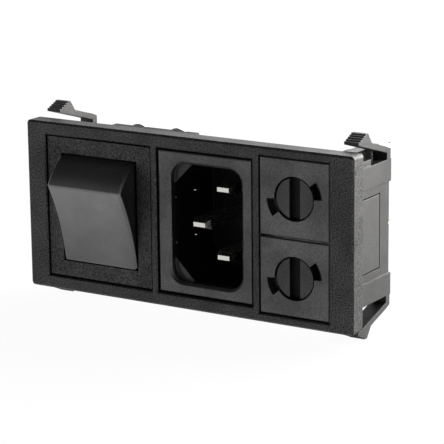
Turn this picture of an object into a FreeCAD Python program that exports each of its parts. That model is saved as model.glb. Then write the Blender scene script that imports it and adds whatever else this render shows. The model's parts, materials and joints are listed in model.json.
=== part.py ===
import FreeCAD, Part
import math
import os

# A panel-mounted mains inlet unit: a bezel that snaps into a rectangular cut-out and carries a
# two-pole rocker switch, an inlet for an earthed appliance connector and two fuse holders.
#
# Millimetres. +X is right and +Z is up for someone facing the panel, and +Y points into the panel.
# The origin is the middle of the bezel's back face, which lies against the panel.

# ---- bezel and its frame ----
BEZEL_T = 3.9
BEZEL_CORNER = 0.8      # outline corners
BEZEL_BREAK = 0.4       # broken front edge
APERTURE_BREAK = 0.25   # broken front edge of each aperture
RIM_LEFT = 4.7
RIM_RIGHT = 5.25
RIM_MODULE = 2.7        # above and below the switch and inlet apertures
RIM_FUSE = 1.75         # above and below the fuse aperture
BAR_W = 1.35            # bars between the apertures
SEAT_DEPTH = 2.4        # from the bezel's face to the seat of each module's flange
SEAT_W = 1.0            # width of that seat
WALL_SETBACK = 2.0      # from the bezel's edge to each end wall
WALL_DROP = 3.85        # from the bezel's top to the top of the end walls
WALL_T = 1.5
WALL_DEPTH = 14.5
RAIL_T = 1.2            # walls above and below the modules
RAIL_DEPTH = 6.85
RAIL_SHORT = 3.4        # the lower rail stops this far inside each end wall
BELT_H = 4.5            # raised band at the top and bottom of each end wall
BELT_T = 0.3
PLATE_H = 15.3          # blank plate let into each end wall
PLATE_LENGTH = 10.4
PLATE_T = 0.9
PLATE_FROM = 0.3        # behind the bezel
PLATE_GAP = 0.25

# ---- snap latches ----
LATCH_W = 3.2
LATCH_ARM_T = 1.2
LATCH_RISE = 16.6       # angle of the arm, in degrees
LATCH_POST_T = 1.5
LATCH_POST_H = 2.65     # above the end wall
LATCH_NIP = 0.6         # cut rear corner of the post
LATCH_RIDGE_H = 6.7     # above the end wall
LATCH_RIDGE_Y = 4.1
LATCH_RIDGE_W = 1.0
LATCH_HEEL_Y = 6.7      # foot of the head's rear slope
LATCH_TIP_Y = 1.3
LATCH_TEETH = 4
LATCH_TOOTH_RISE = 0.3

# ---- modules: flanges ----
MODULE_GAP = 0.2        # between each module's body and the rails
FLANGE_GAP = 0.3        # round each flange in its aperture
FLANGE_ROUND = 0.5
SWITCH_SINK = 0.5       # each flange's face lies this far behind the bezel's
INLET_SINK = 0.3
FUSE_SINK = 0.3

# ---- rocker switch ----
SWITCH_OFF_X = 0.05     # the switch's middle from the aperture's middle
SWITCH_MARGIN = 2.45    # from the switch's body to the aperture's side
ROCKER_W = 18.0
ROCKER_HALF_ANGLE = 46.0
ROCKER_TILT = 18.5      # each way from level
ROCKER_SKIRT = 52.0     # sweep of each end face, in degrees
ROCKER_DISH = 0.8
ROCKER_WALL = 1.3
ROCKER_SIDE_GAP = 0.3
ROCKER_END_GAP = 0.15
ROCKER_ROUND = 0.6      # ridges
ROCKER_EDGE = 0.45      # side edges
PIVOT_DEPTH = 5.0       # behind the switch flange's face
TRUNNION_R = 1.5
TRUNNION_FIT = 0.05
TRUNNION_L = 1.2
SWITCH_WALL = 1.2
SWITCH_BODY_REAR = 16.0
SWITCH_BASE_T = 2.4
BASE_LIP = 1.2
BASE_LIP_GAP = 0.1
POLE_PITCH = 9.8
PLUNGER_R = 1.0
PLUNGER_REACH = 9.0     # from the pivot to the plunger's tip
PLUNGER_NOSE = 0.8
PLUNGER_TIP_R = 0.4
PLUNGER_FIT = 0.05
PLUNGER_POST_T = 0.6    # wall of the square post round each plunger
PLUNGER_POST_END = 4.5  # behind the pivot
PLUNGER_SHANK = 4.5
POST_RIB_HALF = 6.0     # half height of the rib that steadies each post
SPRING_WIRE = 0.3
SPRING_TURNS = 4
ARM_W = 4.0
ARM_T = 0.8
ARM_HALF = 7.9
ARM_VEE = 19.0
ARM_TILT = 6.0
ARM_GAP = 0.13          # plunger tip to arm
CONTACT_R = 1.3
CONTACT_T = 0.6
CONTACT_Z = 7.0
CONTACT_STAND = 0.6     # fixed contact behind the moving one's middle, clear of its tilted rim
TERMINAL_RISE = 0.6     # above the fixed contact
BLADE_T = 0.8
BLADE_W = 6.3
BLADE_NIP = 1.2         # cut corners of every blade
BLADE_HOLE_R = 0.8
BLADE_HOLE_BACK = 3.0   # from a blade's end to its hole
COMMON_W = 4.8
COMMON_L = 7.6          # behind the switch base
LUG_TOP = 14.0
LUG_ROUND = 3.1
LUG_GAP = 0.3           # behind the switch base

# ---- inlet ----
INLET_OFF_X = 0.2
INLET_MARGIN = 1.375    # from the inlet's body to the aperture's side
CAVITY_W = 16.6
CAVITY_H = 24.4
CAVITY_CHAMFER = 4.5    # the two corners on the earth side
CAVITY_CORNER = 2.5
MOUTH_DEPTH = 1.9
MOUTH_CORNER = 3.0
MOUTH_BREAK = 0.6
CAVITY_DEPTH = 16.5
INLET_WALL = 1.6
INLET_WALL_Z = 1.45
INLET_NIP = 1.2         # cut corners of the body
INLET_FLOOR = 2.0
INLET_BASE_T = 1.5
PIN_W = 4.0
PIN_T = 2.0
PIN_TIP_W = 2.7
PIN_TIP_T = 0.9
PIN_TAPER = 1.3
PIN_PITCH = 14.0
LINE_PIN_X = 1.9        # from the cavity's middle
EARTH_PIN_X = -2.0
LINE_PIN_TIP = 4.0      # behind the bezel's face
EARTH_PIN_TIP = 1.2
SHOULDER_SIDE = 0.8
SHOULDER_T = 1.0
TAIL_L = 8.3            # behind the inlet base
RIB_Z = 4.7             # guide ribs and windows in the earth-side wall
RIB_W = 0.5
RIB_H = 0.25
RIB_GAP = 0.4           # from a rib's end to its window
WINDOW_W = 1.2
WINDOW_L = 2.0
WINDOW_Y = 5.4
STRAP_T = 0.5
STRAP_HALF = 6.5
STRAP_SIDE = 1.0

# ---- fuse holders ----
HOLDER_GAP = 0.3        # between the two flanges
HOLDER_SIDE = 1.15      # from a holder's plug to the aperture's side
HOLDER_BREAK = 0.25     # broken front edge of the flange
HOLDER_SKIN = 1.0
PLUG_GAP = 0.175        # round each holder's square plug, inside the seat
PLUG_WALL = 0.6
PLUG_END = -0.1
KEYWAY_FROM = 4.0       # the two notches that let the cap's ears in, in degrees from +X
KEYWAY_SWEEP = 35.0
BAYONET_ROOM = 1.8
BARREL_WALL = 1.25
END_WALL = 1.2          # behind the end spring
CAP_SINK = 0.3          # behind the flange's face
CAP_T = 2.2
CAP_GAP = 0.35          # round the cap, in the flange
CAP_FIT = 0.05          # round the cap's sleeve, in the bore
CAP_SLOT_W = 2.4
CAP_SLOT_DEPTH = 1.2
CAP_TURN = 60.0
EAR_GAP = 0.2
EAR_T = 1.0
EAR_SWEEP = 28.0
EAR_FRONT = 1.15        # behind the flange's face
SLEEVE_WALL = 1.35
SLEEVE_GAP = 0.15       # round the fuse
SLEEVE_END = 5.0
FUSE_R = 2.6
FUSE_LENGTH = 20.0
FUSE_CAP_L = 5.0
GLASS_R = 2.35
GLASS_WALL = 0.5
FUSE_WIRE_W = 0.24
FUSE_FRONT_GAP = 0.1
END_SPRING_R = 2.0
END_SPRING_WIRE = 0.2
END_SPRING_TURNS = 2
END_SPRING_ROOM = 0.8
TAG_T = 0.5
TAG_W = 2.0
TAG_ROOT = 10.0         # where the side tag starts, inside its box
TAG_END = 24.6
TAG_NIP = 0.5
TAG_HOLE_R = 0.5
TAG_HOLE_BACK = 1.4
TAG_LIFT = 6.7          # side tag above the holder's axis
TAG_X = 6.6             # side tag right of the holder's axis
TAG_BOX_W = 2.6
TAG_BOX_LOW = 4.4
TAG_BOX_TOP = 8.05
TAG_BOX_END = 16.5
TAG_RIB_LOW = 2.0       # rib from the barrel to the side tag's box
TAG_RIB_H = 2.4
TAG_RIB_END = 14.0
REAR_TAG_W = 4.8
REAR_TAG_L = 5.5
REAR_TAG_STEM_W = 2.4

# ---- facets ----
SPRING_SIDES = 8        # straight lengths in each turn of a spring
CUT = 1.0               # how far a cutting shape runs past a face

# ---- worked out from the above ----
MODULE_TOP = CAVITY_H / 2 + INLET_WALL_Z       # half height of the switch and inlet bodies
WALL_TOP = MODULE_TOP + MODULE_GAP
BEZEL_H = 2 * (WALL_TOP + WALL_DROP)
MODULE_AP_H = BEZEL_H - 2 * RIM_MODULE
FUSE_AP_H = BEZEL_H - 2 * RIM_FUSE
FUSE_LIFT = FUSE_AP_H / 4                      # each holder's axis above or below the middle
PLUG_HALF = FUSE_LIFT - SEAT_W - PLUG_GAP
SWITCH_HALF_W = ROCKER_W / 2 + ROCKER_SIDE_GAP + SWITCH_WALL
INLET_HALF_W = CAVITY_W / 2 + INLET_WALL
SWITCH_AP_W = 2 * (SWITCH_HALF_W + SWITCH_MARGIN)
INLET_AP_W = 2 * (INLET_HALF_W + INLET_MARGIN)
FUSE_AP_W = 2 * (PLUG_HALF + HOLDER_SIDE)
BEZEL_W = RIM_LEFT + SWITCH_AP_W + BAR_W + INLET_AP_W + BAR_W + FUSE_AP_W + RIM_RIGHT
FACE = -BEZEL_T                                # plane of the bezel's face
SEAT = FACE + SEAT_DEPTH                       # plane of the module seats
AP1 = -BEZEL_W / 2 + RIM_LEFT
AP2 = AP1 + SWITCH_AP_W + BAR_W
AP3 = AP2 + INLET_AP_W + BAR_W
SWITCH_X = AP1 + SWITCH_AP_W / 2 + SWITCH_OFF_X
INLET_X = AP2 + INLET_AP_W / 2 + INLET_OFF_X
FUSE_X = AP3 + FUSE_AP_W / 2
WALL_OUT = BEZEL_W / 2 - WALL_SETBACK
WALL_IN = WALL_OUT - WALL_T
BELT_OUT = WALL_OUT + BELT_T
PIVOT_Y = FACE + SWITCH_SINK + PIVOT_DEPTH
CLEAR_R = MODULE_TOP - SWITCH_WALL             # room for the rocker's ends and the switch's works
ROCKER_R = CLEAR_R - ROCKER_END_GAP            # its end faces, about the pivot
RIDGE_Y = PIVOT_Y - ROCKER_R * math.cos(math.radians(ROCKER_HALF_ANGLE))
RIDGE_Z = ROCKER_R * math.sin(math.radians(ROCKER_HALF_ANGLE))
DISH_R = (RIDGE_Z ** 2 + ROCKER_DISH ** 2) / (2 * ROCKER_DISH)
DISH_Y = RIDGE_Y + ROCKER_DISH - DISH_R        # middle of the dish's circle
BODY_HALF_W = ROCKER_W / 2 + ROCKER_SIDE_GAP
SWITCH_REAR = SWITCH_BODY_REAR + SWITCH_BASE_T
INLET_FLOOR_Y = FACE + CAVITY_DEPTH
INLET_REAR = INLET_FLOOR_Y + INLET_FLOOR
TAIL_END = INLET_REAR + INLET_BASE_T + TAIL_L
POLES = [SWITCH_X - POLE_PITCH / 2, SWITCH_X + POLE_PITCH / 2]
SIDES = ["left", "right"]
HOLDER_FACE = FACE + FUSE_SINK
CAP_FACE = HOLDER_FACE + CAP_SINK
SLEEVE_BORE = FUSE_R + SLEEVE_GAP
CAP_R = SLEEVE_BORE + SLEEVE_WALL
BORE_R = CAP_R + CAP_FIT
HOLE_R = CAP_R + CAP_GAP
KEYWAY_R = PLUG_HALF - PLUG_WALL
EAR_R = KEYWAY_R - EAR_GAP
BARREL_R = BORE_R + BARREL_WALL
FUSE_FRONT = CAP_FACE + CAP_T + FUSE_FRONT_GAP
FUSE_REAR = FUSE_FRONT + FUSE_LENGTH
FUSE_SHELL = FUSE_R - GLASS_R                  # thickness of the fuse's metal caps
SPRING_STOP = FUSE_REAR + END_SPRING_ROOM
BARREL_END = SPRING_STOP + END_WALL
REAR_TAG_END = BARREL_END + REAR_TAG_L


def box(x0, x1, y0, y1, z0, z1):
    return Part.makeBox(x1 - x0, y1 - y0, z1 - z0, FreeCAD.Vector(x0, y0, z0))


def place(axis, u, v, w):
    """The point (u, v) of a profile at w along the axis it is extruded on."""
    points = {"X": (w, u, v), "Y": (u, w, v), "Z": (u, v, w)}
    return FreeCAD.Vector(*points[axis])


def outline(corners, axis, w):
    """A closed wire through the corners (u, v) or (u, v, radius)."""
    spans = []
    for i, corner in enumerate(corners):
        here = FreeCAD.Vector(corner[0], corner[1], 0)
        before = FreeCAD.Vector(corners[i - 1][0], corners[i - 1][1], 0)
        after = corners[(i + 1) % len(corners)]
        after = FreeCAD.Vector(after[0], after[1], 0)
        radius = corner[2] if len(corner) > 2 else 0
        if not radius:
            spans.append((here, None, here))
            continue
        a = (before - here).normalize()
        b = (after - here).normalize()
        half = a.getAngle(b) / 2
        run = radius / math.tan(half)
        middle = here + (a + b).normalize() * (radius / math.sin(half) - radius)
        spans.append((here + a * run, middle, here + b * run))
    edges = []
    for i, (start, middle, end) in enumerate(spans):
        if middle is not None:
            points = [place(axis, p.x, p.y, w) for p in (start, middle, end)]
            edges.append(Part.Arc(*points).toShape())
        following = spans[(i + 1) % len(spans)][0]
        if (following - end).Length > 1e-6:
            edges.append(Part.makeLine(place(axis, end.x, end.y, w),
                                       place(axis, following.x, following.y, w)))
    return Part.Wire(edges)


def prism(corners, axis, low, high):
    """A solid with the given outline, from low to high along the axis."""
    face = Part.Face(outline(corners, axis, low))
    return face.extrude(place(axis, 0, 0, high - low))


def rectangle(u, v, width, height, radius=0):
    """Corners of a rectangle about (u, v), ready for outline."""
    a, b = width / 2, height / 2
    return [(u - a, v - b, radius), (u + a, v - b, radius), (u + a, v + b, radius), (u - a, v + b, radius)]


def nipped(u, v, width, height, nip):
    """Corners of a rectangle about (u, v) whose corners are cut off."""
    a, b = width / 2, height / 2
    return [(u - a, v - b + nip), (u - a + nip, v - b), (u + a - nip, v - b), (u + a, v - b + nip),
            (u + a, v + b - nip), (u + a - nip, v + b), (u - a + nip, v + b), (u - a, v + b - nip)]


def tab(middle, width, start, end, nip):
    """Outline (u, v) of a flat tab that runs from start to end and has cut end corners."""
    half = width / 2
    return [(middle - half, start), (middle + half, start), (middle + half, end - nip),
            (middle + half - nip, end), (middle - half + nip, end), (middle - half, end - nip)]


def rod(radius, x, z, y0, y1):
    """A cylinder along Y."""
    return Part.makeCylinder(radius, y1 - y0, FreeCAD.Vector(x, y0, z), FreeCAD.Vector(0, 1, 0))


def cross_rod(radius, y, z, x0, x1):
    """A cylinder along X."""
    return Part.makeCylinder(radius, x1 - x0, FreeCAD.Vector(x0, y, z), FreeCAD.Vector(1, 0, 0))


def blade(x, z, width, start, end):
    """A flat contact blade along Y, its nipped end pierced for a push-on connector."""
    flat = prism(tab(x, width, start, end, BLADE_NIP), "Z", z - BLADE_T / 2, z + BLADE_T / 2)
    hole = Part.makeCylinder(BLADE_HOLE_R, BLADE_T + 2 * CUT,
                             FreeCAD.Vector(x, end - BLADE_HOLE_BACK, z - BLADE_T / 2 - CUT))
    return flat.cut(hole)


def sector(radius, y0, y1, start, sweep):
    """A slice of a cylinder about the Y axis, its angles measured from +X towards +Z."""
    slice_ = Part.makeCylinder(radius, y1 - y0, FreeCAD.Vector(0, 0, 0), FreeCAD.Vector(0, 0, 1), sweep)
    slice_.rotate(FreeCAD.Vector(0, 0, 0), FreeCAD.Vector(0, 0, 1), -start - sweep)
    slice_.rotate(FreeCAD.Vector(0, 0, 0), FreeCAD.Vector(1, 0, 0), -90)
    slice_.translate(FreeCAD.Vector(0, y0, 0))
    return slice_


def fuse_all(shapes):
    return shapes[0].multiFuse(shapes[1:]).removeSplitter()


def mirror_x(shape):
    return shape.mirror(FreeCAD.Vector(0, 0, 0), FreeCAD.Vector(1, 0, 0))


def mirror_z(shape):
    return shape.mirror(FreeCAD.Vector(0, 0, 0), FreeCAD.Vector(0, 0, 1))


def opposed(shape):
    """The shape and its copy half a turn round the Y axis."""
    return [shape, mirror_x(mirror_z(shape))]


def turned(shape, y, degrees):
    """A copy turned about the X-wise line through (y, 0)."""
    copy = shape.copy()
    copy.rotate(FreeCAD.Vector(0, y, 0), FreeCAD.Vector(1, 0, 0), degrees)
    return copy


def coil_spring(radius, wire, start, stop, turns, x):
    """A coil along Y at x, of square wire bent in short straight lengths."""
    count = turns * SPRING_SIDES
    rise = (stop - start - wire) / count
    half = wire / 2
    path = []
    for i in range(count + 1):
        bearing = 2 * math.pi * i / SPRING_SIDES
        path.append(FreeCAD.Vector(x + radius * math.cos(bearing), start + half + i * rise,
                                   radius * math.sin(bearing)))
    sections = []
    for i, point in enumerate(path):
        bearing = 2 * math.pi * i / SPRING_SIDES
        out = FreeCAD.Vector(math.cos(bearing), 0, math.sin(bearing)) * half
        up = FreeCAD.Vector(0, half, 0)
        sections.append([point - out - up, point + out - up, point + out + up, point - out + up])
    faces = [Part.Face(Part.makePolygon(sections[0] + sections[0][:1])),
             Part.Face(Part.makePolygon(sections[-1] + sections[-1][:1]))]
    for near, far in zip(sections, sections[1:]):
        for k in range(len(near)):
            a, b = near[k], near[(k + 1) % len(near)]
            c, d = far[(k + 1) % len(far)], far[k]
            faces.append(Part.Face(Part.makePolygon([a, b, c, a])))
            faces.append(Part.Face(Part.makePolygon([a, c, d, a])))
    return Part.Solid(Part.Shell(faces))


# ---- bezel frame ----

def latch_profile():
    """Side view (y, z) of an upper latch: post, rising arm, and a head with a toothed front."""
    slope = math.tan(math.radians(LATCH_RISE))
    thick = LATCH_ARM_T / math.cos(math.radians(LATCH_RISE))
    post = WALL_DEPTH - LATCH_POST_T
    root = WALL_TOP + LATCH_POST_H
    ridge = WALL_TOP + LATCH_RIDGE_H
    heel = root + (post - LATCH_HEEL_Y) * slope
    under_tip = root - thick + (post - LATCH_TIP_Y) * slope
    run = (LATCH_RIDGE_Y - LATCH_TIP_Y) / LATCH_TEETH
    corners = [
        (WALL_DEPTH, WALL_TOP - BELT_H),
        (WALL_DEPTH, root - LATCH_NIP),
        (post, root),
        (LATCH_HEEL_Y, heel),
        (LATCH_RIDGE_Y + LATCH_RIDGE_W, ridge),
        (LATCH_RIDGE_Y, ridge),
    ]
    for i in range(LATCH_TEETH):
        y = LATCH_RIDGE_Y - i * run
        z = ridge - (i + 1) * LATCH_TOOTH_RISE
        corners += [(y, z), (y - run, z)]
    corners += [(LATCH_TIP_Y, under_tip), (post, root - thick), (post, WALL_TOP - BELT_H)]
    return corners


def front_edges(shape, face):
    """The edges that lie in the plane y = face."""
    return [edge for edge in shape.Edges if edge.BoundBox.YMax < face + 0.01]


def make_flange():
    """The bezel's plate, with a seat round each aperture and broken front edges."""
    rim = prism(rectangle(0, 0, BEZEL_W, BEZEL_H, BEZEL_CORNER), "Y", FACE, 0)
    rim = rim.makeChamfer(BEZEL_BREAK, front_edges(rim, FACE))
    apertures = [
        (AP1, SWITCH_AP_W, MODULE_AP_H), (AP2, INLET_AP_W, MODULE_AP_H), (AP3, FUSE_AP_W, FUSE_AP_H)]
    for left, width, height in apertures:
        middle = left + width / 2
        recess = prism(rectangle(middle, 0, width, height), "Y", FACE, SEAT)
        mouth_wide = outline(rectangle(middle, 0, width + 2 * APERTURE_BREAK, height + 2 * APERTURE_BREAK),
                             "Y", FACE)
        mouth = outline(rectangle(middle, 0, width, height), "Y", FACE + APERTURE_BREAK)
        through = prism(rectangle(middle, 0, width - 2 * SEAT_W, height - 2 * SEAT_W), "Y", FACE, CUT)
        rim = rim.cut(recess).cut(Part.makeLoft([mouth_wide, mouth], True, True)).cut(through)
    return rim


def make_bezel_frame():
    end = box(WALL_IN, WALL_OUT, 0, WALL_DEPTH, -WALL_TOP, WALL_TOP)
    for sign in (-1, 1):
        low, high = sorted((sign * (WALL_TOP - BELT_H), sign * WALL_TOP))
        end = end.fuse(box(WALL_IN, BELT_OUT, 0, WALL_DEPTH + BELT_T, low, high))
    half = PLATE_H / 2
    plate_end = PLATE_FROM + PLATE_LENGTH
    end = end.cut(box(WALL_OUT - PLATE_T, WALL_OUT + CUT, PLATE_FROM, plate_end, -half, half))
    latch = prism(latch_profile(), "X", BELT_OUT - LATCH_W, BELT_OUT)
    end = fuse_all([end, latch, mirror_z(latch)])
    upper = box(-WALL_OUT, WALL_OUT, 0, RAIL_DEPTH, WALL_TOP, WALL_TOP + RAIL_T)
    lower_end = WALL_OUT - RAIL_SHORT
    lower = box(-lower_end, lower_end, 0, RAIL_DEPTH, -WALL_TOP - RAIL_T, -WALL_TOP)
    return fuse_all([make_flange(), end, mirror_x(end), upper, lower])


def make_end_plate():
    """Blank plate let flush into the right end wall."""
    half = PLATE_H / 2 - PLATE_GAP
    return box(WALL_OUT - PLATE_T, WALL_OUT, PLATE_FROM + PLATE_GAP, PLATE_FROM + PLATE_LENGTH - PLATE_GAP,
               -half, half)


# ---- rocker switch ----

def make_switch_housing():
    middle = AP1 + SWITCH_AP_W / 2
    flange = prism(rectangle(middle, 0, SWITCH_AP_W - 2 * FLANGE_GAP, MODULE_AP_H - 2 * FLANGE_GAP),
                   "Y", FACE + SWITCH_SINK, SEAT)
    left, right = SWITCH_X - SWITCH_HALF_W, SWITCH_X + SWITCH_HALF_W
    housing = flange.fuse(box(left, right, SEAT, SWITCH_BODY_REAR, -MODULE_TOP, MODULE_TOP))
    housing = housing.cut(cross_rod(CLEAR_R, PIVOT_Y, 0, SWITCH_X - BODY_HALF_W, SWITCH_X + BODY_HALF_W))
    housing = housing.cut(box(SWITCH_X - BODY_HALF_W, SWITCH_X + BODY_HALF_W,
                              PIVOT_Y, SWITCH_BODY_REAR + CUT, -CLEAR_R, CLEAR_R))
    bearing = cross_rod(TRUNNION_R + TRUNNION_FIT, PIVOT_Y, 0, left - CUT, right + CUT)
    return housing.cut(bearing).removeSplitter()


def rocker_profile(inset, rounding, skirt):
    """Side view of the level rocker: dished front, two rounded ridges, round ends and open rear."""
    end_r, dish_r = ROCKER_R - inset, DISH_R + inset
    pivot, dish = FreeCAD.Vector(0, PIVOT_Y, 0), FreeCAD.Vector(0, DISH_Y, 0)
    reach = math.radians(ROCKER_HALF_ANGLE + skirt)
    span = PIVOT_Y - DISH_Y
    back = ((end_r - rounding) ** 2 - (dish_r + rounding) ** 2 + span ** 2) / (2 * span)
    aside = math.sqrt((end_r - rounding) ** 2 - back ** 2)

    def on_end(bearing, side):
        return pivot + FreeCAD.Vector(0, -end_r * math.cos(bearing), side * end_r * math.sin(bearing))

    edges, touching = [], {}
    for side in (1, -1):
        ridge = FreeCAD.Vector(0, PIVOT_Y - back, side * aside)
        outer = pivot + (ridge - pivot) * (end_r / (end_r - rounding))
        inner = dish + (ridge - dish) * (dish_r / (dish_r + rounding))
        if rounding:
            crest = ridge + ((outer - ridge) + (inner - ridge)).normalize() * rounding
            edges.append(Part.Arc(inner, crest, outer).toShape())
        start = math.atan2(side * outer.z, PIVOT_Y - outer.y)
        edges.append(Part.Arc(outer, on_end((start + reach) / 2, side), on_end(reach, side)).toShape())
        touching[side] = inner
    edges.append(Part.makeLine(on_end(reach, 1), on_end(reach, -1)))
    edges.append(Part.Arc(touching[-1], FreeCAD.Vector(0, DISH_Y + dish_r, 0), touching[1]).toShape())
    return Part.Wire(Part.__sortEdges__(edges))


def make_rocker_level():
    half = ROCKER_W / 2
    outer = Part.Face(rocker_profile(0, ROCKER_ROUND, ROCKER_SKIRT)).extrude(FreeCAD.Vector(ROCKER_W, 0, 0))
    outer.translate(FreeCAD.Vector(SWITCH_X - half, 0, 0))
    level_front = [edge for edge in outer.Edges
                   if edge.BoundBox.XLength < 0.01 and edge.BoundBox.YMax < RIDGE_Y + 1.1 * ROCKER_DISH]
    outer = outer.makeChamfer(ROCKER_EDGE, level_front)
    inner_w = ROCKER_W - 2 * ROCKER_WALL
    inner = Part.Face(rocker_profile(ROCKER_WALL, 0, ROCKER_SKIRT)).extrude(FreeCAD.Vector(inner_w, 0, 0))
    inner.translate(FreeCAD.Vector(SWITCH_X - inner_w / 2, 0, 0))
    open_rear = box(SWITCH_X - inner_w / 2, SWITCH_X + inner_w / 2, PIVOT_Y, PIVOT_Y + ROCKER_R,
                    -ROCKER_R + ROCKER_WALL, ROCKER_R - ROCKER_WALL)
    pieces = [outer.cut(inner).cut(open_rear)]
    for side in (-1, 1):
        face_x = SWITCH_X + side * half
        x0, x1 = sorted((face_x - side * ROCKER_WALL, face_x + side * TRUNNION_L))
        pieces.append(cross_rod(TRUNNION_R, PIVOT_Y, 0, x0, x1))
    front = RIDGE_Y + ROCKER_DISH + ROCKER_WALL / 2
    bore = PLUNGER_R + PLUNGER_FIT
    post = bore + PLUNGER_POST_T
    for x in POLES:
        pieces.append(box(x - post, x + post, front, PIVOT_Y + PLUNGER_POST_END, -post, post))
        pieces.append(box(x - PLUNGER_POST_T / 2, x + PLUNGER_POST_T / 2, front, PIVOT_Y,
                          -POST_RIB_HALF, POST_RIB_HALF))
    rocker = fuse_all(pieces)
    for x in POLES:
        rocker = rocker.cut(rod(bore, x, 0, front + ROCKER_WALL, PIVOT_Y + PLUNGER_POST_END + CUT))
    return rocker


def make_plunger_level(x):
    """Plunger with a coned nose that slides in the rocker's post."""
    nose = PIVOT_Y + PLUNGER_REACH - PLUNGER_NOSE
    shank = rod(PLUNGER_R, x, 0, nose - PLUNGER_SHANK, nose)
    cone = Part.makeCone(PLUNGER_R, PLUNGER_TIP_R, PLUNGER_NOSE, FreeCAD.Vector(x, nose, 0),
                         FreeCAD.Vector(0, 1, 0))
    return shank.fuse(cone)


def make_plunger_spring_level(x):
    """Coil spring between the rocker's front wall and the plunger."""
    start = RIDGE_Y + ROCKER_DISH + 1.5 * ROCKER_WALL
    stop = PIVOT_Y + PLUNGER_REACH - PLUNGER_NOSE - PLUNGER_SHANK
    return coil_spring(PLUNGER_R - SPRING_WIRE / 2, SPRING_WIRE, start, stop, SPRING_TURNS, x)


def arm_pivot():
    """Where the see-saw contact arms rock: behind the plungers' resting place."""
    tilt = math.radians(ROCKER_TILT)
    rise = PLUNGER_REACH * math.sin(tilt)
    vee = math.radians(ARM_VEE - ARM_TILT)
    front = PIVOT_Y + PLUNGER_REACH * math.cos(tilt) + rise * math.tan(vee) + ARM_GAP
    return front + ARM_T / math.cos(math.radians(ARM_VEE))


def make_contact_arm(x):
    """Shallow V of sheet with a round contact at its upper end, rocking on the common blade."""
    pivot = arm_pivot()
    vee = math.radians(ARM_VEE)
    lean = ARM_HALF * math.tan(vee)
    depth = ARM_T / math.cos(vee)
    corners = [(pivot, 0), (pivot - lean, ARM_HALF), (pivot - lean - depth, ARM_HALF),
               (pivot - depth, 0), (pivot - lean - depth, -ARM_HALF), (pivot - lean, -ARM_HALF)]
    arm = prism(corners, "X", x - ARM_W / 2, x + ARM_W / 2)
    arm = arm.cut(cross_rod(BLADE_T / 2 + TRUNNION_FIT, pivot, 0, x - ARM_W, x + ARM_W))
    foot = FreeCAD.Vector(x, pivot - CONTACT_Z * math.tan(vee) - ARM_T / 2, CONTACT_Z)
    out = FreeCAD.Vector(0, math.cos(vee), math.sin(vee))
    button = Part.makeCylinder(CONTACT_R, ARM_T / 2 + CONTACT_T, foot, out)
    return turned(fuse_all([arm, button]), pivot, -ARM_TILT)


def make_switched_terminal(x):
    """Fixed contact inside the switch, run through its base and bent up into a pierced lug."""
    lean = math.radians(ARM_VEE - ARM_TILT)
    moving = arm_pivot() - CONTACT_Z * math.sin(lean) + (ARM_T / 2 + CONTACT_T) / math.cos(lean)
    face = moving + CONTACT_STAND
    level = CONTACT_Z + CONTACT_R + TERMINAL_RISE
    rear = SWITCH_REAR + LUG_GAP
    inner = box(x - COMMON_W / 2, x + COMMON_W / 2, face, face + BLADE_T, CONTACT_Z - CONTACT_R, level)
    run = box(x - COMMON_W / 2, x + COMMON_W / 2, face, rear + BLADE_T, level, level + BLADE_T)
    half = BLADE_W / 2
    lug = prism([(x - half, level), (x + half, level), (x + half, LUG_TOP, LUG_ROUND),
                 (x - half, LUG_TOP, LUG_ROUND)], "Y", rear, rear + BLADE_T)
    lug = lug.cut(rod(BLADE_HOLE_R, x, LUG_TOP - BLADE_HOLE_BACK, rear - CUT, rear + BLADE_T + CUT))
    return fuse_all([inner, run, lug])


def make_common_terminal(x):
    """Straight blade whose rounded front edge carries the contact arm."""
    front = arm_pivot()
    edge = cross_rod(BLADE_T / 2, front, 0, x - COMMON_W / 2, x + COMMON_W / 2)
    return fuse_all([blade(x, 0, COMMON_W, front, SWITCH_REAR + COMMON_L), edge])


def make_switch_base(terminals):
    """Rear cover of the switch, with a lip inside the housing and a slot for each blade."""
    base = prism(rectangle(SWITCH_X, 0, 2 * SWITCH_HALF_W, 2 * MODULE_TOP), "Y",
                 SWITCH_BODY_REAR, SWITCH_REAR)
    lip_w, lip_h = 2 * (BODY_HALF_W - BASE_LIP_GAP), 2 * (CLEAR_R - BASE_LIP_GAP)
    front = SWITCH_BODY_REAR - BASE_LIP
    lip = prism(rectangle(SWITCH_X, 0, lip_w, lip_h), "Y", front, SWITCH_BODY_REAR)
    hollow = prism(rectangle(SWITCH_X, 0, lip_w - 2 * BASE_LIP, lip_h - 2 * BASE_LIP), "Y", front - CUT,
                   SWITCH_BODY_REAR)
    base = base.fuse(lip.cut(hollow))
    for terminal in terminals:
        base = base.cut(terminal)
    return base.removeSplitter()


# ---- inlet ----

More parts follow.
